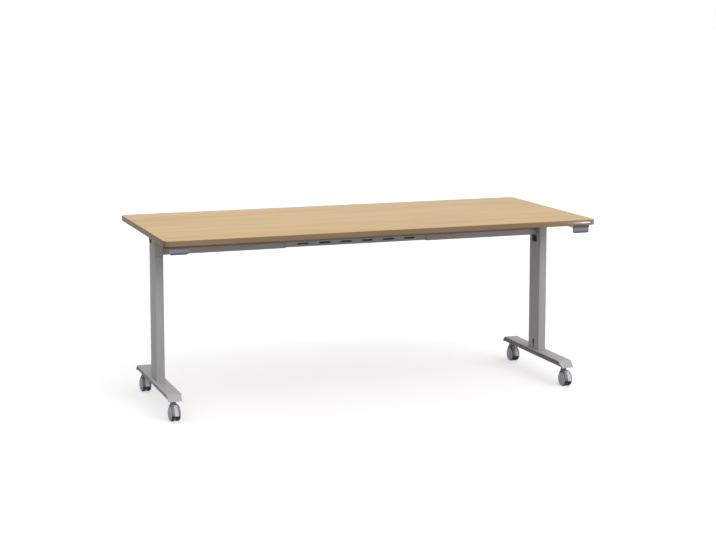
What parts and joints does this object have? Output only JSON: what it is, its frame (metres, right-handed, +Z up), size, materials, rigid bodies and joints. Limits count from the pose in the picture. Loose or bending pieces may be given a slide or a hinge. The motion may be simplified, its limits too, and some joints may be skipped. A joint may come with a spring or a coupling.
{
  "type": "flip top training table",
  "caption": "Rectangular wood table whose top flips upright on hinged heads of two silver T legs, with squeeze release levers, a slotted cross beam and braked twin-wheel casters",
  "frame": {"origin": "on the floor under the middle of the board", "axes": "X along the table's length, Y from the user's edge with the levers to the back, Z up"},
  "size_m": [1.8, 0.8, 0.72],
  "materials": {
    "oak_laminate": "pale oak laminate, satin, grain along the length",
    "oak_edge": "oak-coloured plastic edge band, satin",
    "silver_paint": "silver grey powder coat, fine texture",
    "cast_head": "silver grey powder coat on a die casting",
    "bracket_paint": "dark grey powder coat",
    "bright_steel": "bright zinc plate",
    "black_rubber": "matt black rubber",
    "grey_plastic": "violet grey moulded plastic, fine grain",
    "dark_plastic": "dark grey moulded plastic, satin",
    "pedal_plastic": "pale grey moulded plastic, satin",
    "tread_rubber": "near-black soft tread"
  },
  "bodies": {
    "frame": {"beam_centre": "silver_paint", "left_leg_column": "silver_paint", "left_cable_cover": "silver_paint", "left_leg_head": "cast_head", "left_pivot_pin": "bright_steel", "left_stop_pad": "black_rubber", "left_foot": "silver_paint", "left_beam_rail": "silver_paint", "left_front_caster_stem": "bright_steel", "left_rear_caster_stem": "bright_steel", "right_leg_column": "silver_paint", "right_cable_cover": "silver_paint", "right_leg_head": "cast_head", "right_pivot_pin": "bright_steel", "right_stop_pad": "black_rubber", "right_foot": "silver_paint", "right_beam_rail": "silver_paint", "right_front_caster_stem": "bright_steel", "right_rear_caster_stem": "bright_steel"},
    "top": {"table_top": "oak_laminate", "edge_band": "oak_edge", "left_hinge_bracket": "bracket_paint", "left_lever_housing": "bracket_paint", "left_lever_pin": "bright_steel", "right_hinge_bracket": "bracket_paint", "right_lever_housing": "bracket_paint", "right_lever_pin": "bright_steel"},
    "left_lever": {"left_release_lever": "grey_plastic"},
    "left_latch": {"left_release_rod": "bright_steel"},
    "left_front_caster": {"left_front_caster_hood": "dark_plastic", "left_front_caster_axle": "bright_steel"},
    "left_front_pedal": {"left_front_caster_pedal": "pedal_plastic"},
    "left_front_left_wheel": {"left_front_caster_left_wheel": "grey_plastic", "left_front_caster_left_tread": "tread_rubber"},
    "left_front_right_wheel": {"left_front_caster_right_wheel": "grey_plastic", "left_front_caster_right_tread": "tread_rubber"},
    "left_rear_caster": {"left_rear_caster_hood": "dark_plastic", "left_rear_caster_axle": "bright_steel"},
    "left_rear_pedal": {"left_rear_caster_pedal": "pedal_plastic"},
    "left_rear_left_wheel": {"left_rear_caster_left_wheel": "grey_plastic", "left_rear_caster_left_tread": "tread_rubber"},
    "left_rear_right_wheel": {"left_rear_caster_right_wheel": "grey_plastic", "left_rear_caster_right_tread": "tread_rubber"},
    "right_lever": {"right_release_lever": "grey_plastic"},
    "right_latch": {"right_release_rod": "bright_steel"},
    "right_front_caster": {"right_front_caster_hood": "dark_plastic", "right_front_caster_axle": "bright_steel"},
    "right_front_pedal": {"right_front_caster_pedal": "pedal_plastic"},
    "right_front_left_wheel": {"right_front_caster_left_wheel": "grey_plastic", "right_front_caster_left_tread": "tread_rubber"},
    "right_front_right_wheel": {"right_front_caster_right_wheel": "grey_plastic", "right_front_caster_right_tread": "tread_rubber"},
    "right_rear_caster": {"right_rear_caster_hood": "dark_plastic", "right_rear_caster_axle": "bright_steel"},
    "right_rear_pedal": {"right_rear_caster_pedal": "pedal_plastic"},
    "right_rear_left_wheel": {"right_rear_caster_left_wheel": "grey_plastic", "right_rear_caster_left_tread": "tread_rubber"},
    "right_rear_right_wheel": {"right_rear_caster_right_wheel": "grey_plastic", "right_rear_caster_right_tread": "tread_rubber"}
  },
  "joints": [
    {"name": "top_flip", "type": "hinge", "parent": "frame", "child": "top", "pos_m": [0, 0.032, 0.665], "axis": [-1, 0, 0], "range_deg": [0, 90]},
    {"name": "left_lever_pull", "type": "hinge", "parent": "top", "child": "left_lever", "pos_m": [-0.8395, -0.3685, 0.688], "axis": [-1, 0, 0], "range_deg": [0, 20]},
    {"name": "left_latch_slide", "type": "slide", "parent": "top", "child": "left_latch", "axis": [0, -1, 0], "range_m": [0, 0.00491], "stiffness_N_per_m": 900},
    {"name": "left_front_swivel", "type": "hinge", "parent": "frame", "child": "left_front_caster", "pos_m": [-0.8395, -0.246, 0.07], "axis": [0, 0, 1], "continuous": true},
    {"name": "left_front_pedal_lift", "type": "hinge", "parent": "left_front_caster", "child": "left_front_pedal", "pos_m": [-0.8395, -0.27724, 0.06423], "axis": [-1, 0, 0], "range_deg": [0, 14]},
    {"name": "left_front_left_wheel_spin", "type": "hinge", "parent": "left_front_caster", "child": "left_front_left_wheel", "pos_m": [-0.8495, -0.262, 0.03], "axis": [1, 0, 0], "continuous": true},
    {"name": "left_front_right_wheel_spin", "type": "hinge", "parent": "left_front_caster", "child": "left_front_right_wheel", "pos_m": [-0.8295, -0.262, 0.03], "axis": [1, 0, 0], "continuous": true},
    {"name": "left_rear_swivel", "type": "hinge", "parent": "frame", "child": "left_rear_caster", "pos_m": [-0.8395, 0.262, 0.07], "axis": [0, 0, 1], "continuous": true},
    {"name": "left_rear_pedal_lift", "type": "hinge", "parent": "left_rear_caster", "child": "left_rear_pedal", "pos_m": [-0.8395, 0.23076, 0.06423], "axis": [-1, 0, 0], "range_deg": [0, 14]},
    {"name": "left_rear_left_wheel_spin", "type": "hinge", "parent": "left_rear_caster", "child": "left_rear_left_wheel", "pos_m": [-0.8495, 0.246, 0.03], "axis": [1, 0, 0], "continuous": true},
    {"name": "left_rear_right_wheel_spin", "type": "hinge", "parent": "left_rear_caster", "child": "left_rear_right_wheel", "pos_m": [-0.8295, 0.246, 0.03], "axis": [1, 0, 0], "continuous": true},
    {"name": "right_lever_pull", "type": "hinge", "parent": "top", "child": "right_lever", "pos_m": [0.8395, -0.3685, 0.688], "axis": [-1, 0, 0], "range_deg": [0, 20]},
    {"name": "right_latch_slide", "type": "slide", "parent": "top", "child": "right_latch", "axis": [0, -1, 0], "range_m": [0, 0.00491], "stiffness_N_per_m": 900},
    {"name": "right_front_swivel", "type": "hinge", "parent": "frame", "child": "right_front_caster", "pos_m": [0.8395, -0.246, 0.07], "axis": [0, 0, 1], "continuous": true},
    {"name": "right_front_pedal_lift", "type": "hinge", "parent": "right_front_caster", "child": "right_front_pedal", "pos_m": [0.8395, -0.27724, 0.06423], "axis": [-1, 0, 0], "range_deg": [0, 14]},
    {"name": "right_front_left_wheel_spin", "type": "hinge", "parent": "right_front_caster", "child": "right_front_left_wheel", "pos_m": [0.8295, -0.262, 0.03], "axis": [1, 0, 0], "continuous": true},
    {"name": "right_front_right_wheel_spin", "type": "hinge", "parent": "right_front_caster", "child": "right_front_right_wheel", "pos_m": [0.8495, -0.262, 0.03], "axis": [1, 0, 0], "continuous": true},
    {"name": "right_rear_swivel", "type": "hinge", "parent": "frame", "child": "right_rear_caster", "pos_m": [0.8395, 0.262, 0.07], "axis": [0, 0, 1], "continuous": true},
    {"name": "right_rear_pedal_lift", "type": "hinge", "parent": "right_rear_caster", "child": "right_rear_pedal", "pos_m": [0.8395, 0.23076, 0.06423], "axis": [-1, 0, 0], "range_deg": [0, 14]},
    {"name": "right_rear_left_wheel_spin", "type": "hinge", "parent": "right_rear_caster", "child": "right_rear_left_wheel", "pos_m": [0.8295, 0.246, 0.03], "axis": [1, 0, 0], "continuous": true},
    {"name": "right_rear_right_wheel_spin", "type": "hinge", "parent": "right_rear_caster", "child": "right_rear_right_wheel", "pos_m": [0.8495, 0.246, 0.03], "axis": [1, 0, 0], "continuous": true}
  ],
  "couplings": [
    {"joint": "left_lever_pull", "follows": "left_latch_slide", "rad_per_m": 71.041},
    {"joint": "right_lever_pull", "follows": "right_latch_slide", "rad_per_m": 71.041}
  ]
}
